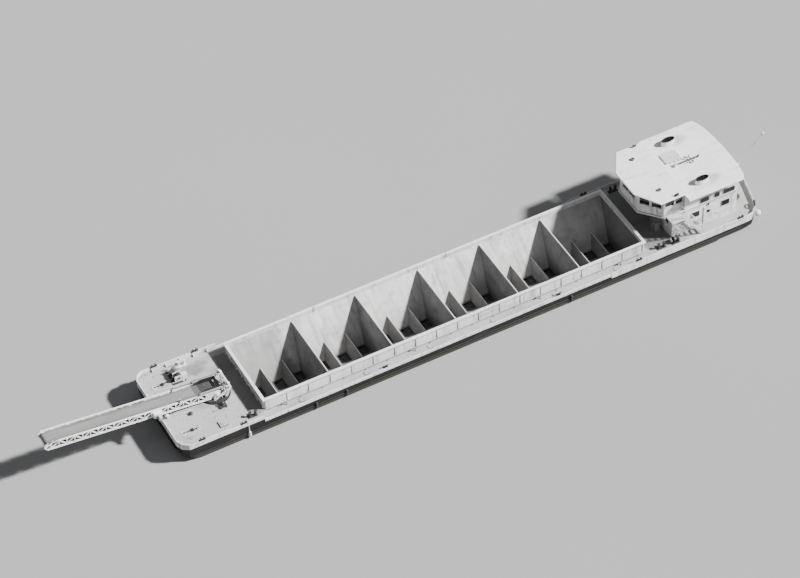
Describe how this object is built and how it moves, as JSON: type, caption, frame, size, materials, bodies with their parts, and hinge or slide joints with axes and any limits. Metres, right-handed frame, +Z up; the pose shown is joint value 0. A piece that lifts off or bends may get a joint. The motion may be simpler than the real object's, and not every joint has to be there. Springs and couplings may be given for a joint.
{
  "type": "river barge with a bow conveyor boom, 1:2 scale model",
  "caption": "Self-unloading river barge as a 1:2 scale model: hopper hold, side decks, aft deckhouse with wheelhouse, slewing and luffing conveyor boom, propellers and rudders",
  "frame": {"origin": "amidships on the centreline, at the waterline", "axes": "+X towards the bow, +Y to port, +Z up"},
  "size_m": [32.8376, 4.6, 3.71],
  "materials": {
    "black_paint": "satin, weathered",
    "white_paint": "semi-gloss, weathered",
    "deck_paint": "matt, non-slip",
    "hopper_steel": "matt, worn by cargo",
    "cylinder_steel": "machined",
    "dark_paint": "satin",
    "conveyor_belt": "matt",
    "window_glass": "tinted, clear",
    "bronze": "cast, satin"
  },
  "bodies": {
    "hull": {"hull_bow": "black_paint", "side_tank_port": "black_paint", "side_tank_stbd": "black_paint", "tunnel_floor": "dark_paint", "tunnel_belt": "conveyor_belt", "hull_aft": "black_paint", "engine_port": "dark_paint", "engine_stbd": "dark_paint", "hull_counter": "black_paint", "hopper_saddle_0": "hopper_steel", "hopper_saddle_1": "hopper_steel", "hopper_saddle_2": "hopper_steel", "hopper_saddle_3": "hopper_steel", "hopper_saddle_4": "hopper_steel", "hopper_saddle_5": "hopper_steel", "hopper_saddle_6": "hopper_steel", "outlet_gates": "hopper_steel", "hold_coaming": "white_paint", "bulwark_bow": "white_paint", "bulwark_stern": "white_paint", "sheer_strake_port": "white_paint", "sheer_strake_stbd": "white_paint", "house_lower_walls": "white_paint", "house_upper_walls": "white_paint", "bridge_deck": "deck_paint", "wheelhouse_walls": "white_paint", "wheelhouse_glass": "window_glass", "wheelhouse_roof": "white_paint", "helm_console": "dark_paint", "helm_seat": "dark_paint", "house_roof": "white_paint", "funnel_port": "white_paint", "funnel_stbd": "white_paint", "bridge_stair": "deck_paint", "stern_staff": "white_paint", "bollard_bow_port": "black_paint", "bollard_bow_stbd": "black_paint", "bollard_stern_port": "black_paint", "bollard_stern_stbd": "black_paint", "windlass": "white_paint", "mooring_winch": "dark_paint", "deck_locker": "white_paint", "stern_fender": "white_paint", "boom_rest": "white_paint", "anchor": "dark_paint", "anchor_seat": "dark_paint"},
    "turntable": {"boom_turntable": "white_paint"},
    "boom": {"boom_frame": "white_paint", "boom_belt": "conveyor_belt"},
    "luff_barrels": {"luff_barrel_port": "cylinder_steel", "luff_barrel_stbd": "cylinder_steel"},
    "luff_rods": {"luff_rod_port": "cylinder_steel", "luff_rod_stbd": "cylinder_steel"},
    "propeller_port": {"propeller_port": "bronze"},
    "propeller_stbd": {"propeller_stbd": "bronze"},
    "rudder_port": {"rudder_port": "black_paint"},
    "rudder_stbd": {"rudder_stbd": "black_paint"},
    "door_port": {"house_door_port": "white_paint"},
    "door_stbd": {"house_door_stbd": "white_paint"},
    "mast": {"mast": "dark_paint"}
  },
  "joints": [
    {"name": "boom_slew", "type": "hinge", "parent": "hull", "child": "turntable", "pos_m": [11.05, 0, 0.78], "axis": [0, 0, 1], "range_deg": [-25, 25]},
    {"name": "boom_luff", "type": "hinge", "parent": "turntable", "child": "boom", "pos_m": [11.05, 0, 1], "axis": [0, -1, 0], "range_deg": [-2.5, 10]},
    {"name": "luff_barrel", "type": "hinge", "parent": "turntable", "child": "luff_barrels", "pos_m": [10.65, 0, 1.25], "axis": [0, -1, 0], "range_deg": [-2.3, 8.5]},
    {"name": "luff_rod", "type": "slide", "parent": "luff_barrels", "child": "luff_rods", "axis": [0.9957, 0, 0.0923], "range_m": [-0.058, 0.017]},
    {"name": "propeller_port_spin", "type": "hinge", "parent": "hull", "child": "propeller_port", "pos_m": [-11.25, 1, -0.35], "axis": [1, 0, 0], "continuous": true},
    {"name": "propeller_stbd_spin", "type": "hinge", "parent": "hull", "child": "propeller_stbd", "pos_m": [-11.25, -1, -0.35], "axis": [1, 0, 0], "continuous": true},
    {"name": "rudder_port_steer", "type": "hinge", "parent": "hull", "child": "rudder_port", "pos_m": [-11.575, 1, -0.3], "axis": [0, 0, 1], "range_deg": [-35, 35]},
    {"name": "rudder_stbd_steer", "type": "hinge", "parent": "hull", "child": "rudder_stbd", "pos_m": [-11.575, -1, -0.3], "axis": [0, 0, 1], "range_deg": [-35, 35]},
    {"name": "door_port_hinge", "type": "hinge", "parent": "hull", "child": "door_port", "pos_m": [-10.63, 1.668, 1.2], "axis": [0, 0, -1], "range_deg": [0, 100]},
    {"name": "door_stbd_hinge", "type": "hinge", "parent": "hull", "child": "door_stbd", "pos_m": [-10.63, -1.668, 1.2], "axis": [0, 0, 1], "range_deg": [0, 100]},
    {"name": "mast_fold", "type": "hinge", "parent": "hull", "child": "mast", "pos_m": [-10.25, 0, 2.88], "axis": [0, 1, 0], "range_deg": [0, 90]}
  ],
  "couplings": [
    {"joint": "luff_barrel", "follows": "boom_luff", "ratio": 0.815},
    {"joint": "luff_rod", "follows": "boom_luff", "m_per_rad": -0.306},
    {"joint": "rudder_stbd_steer", "follows": "rudder_port_steer", "ratio": 1}
  ]
}
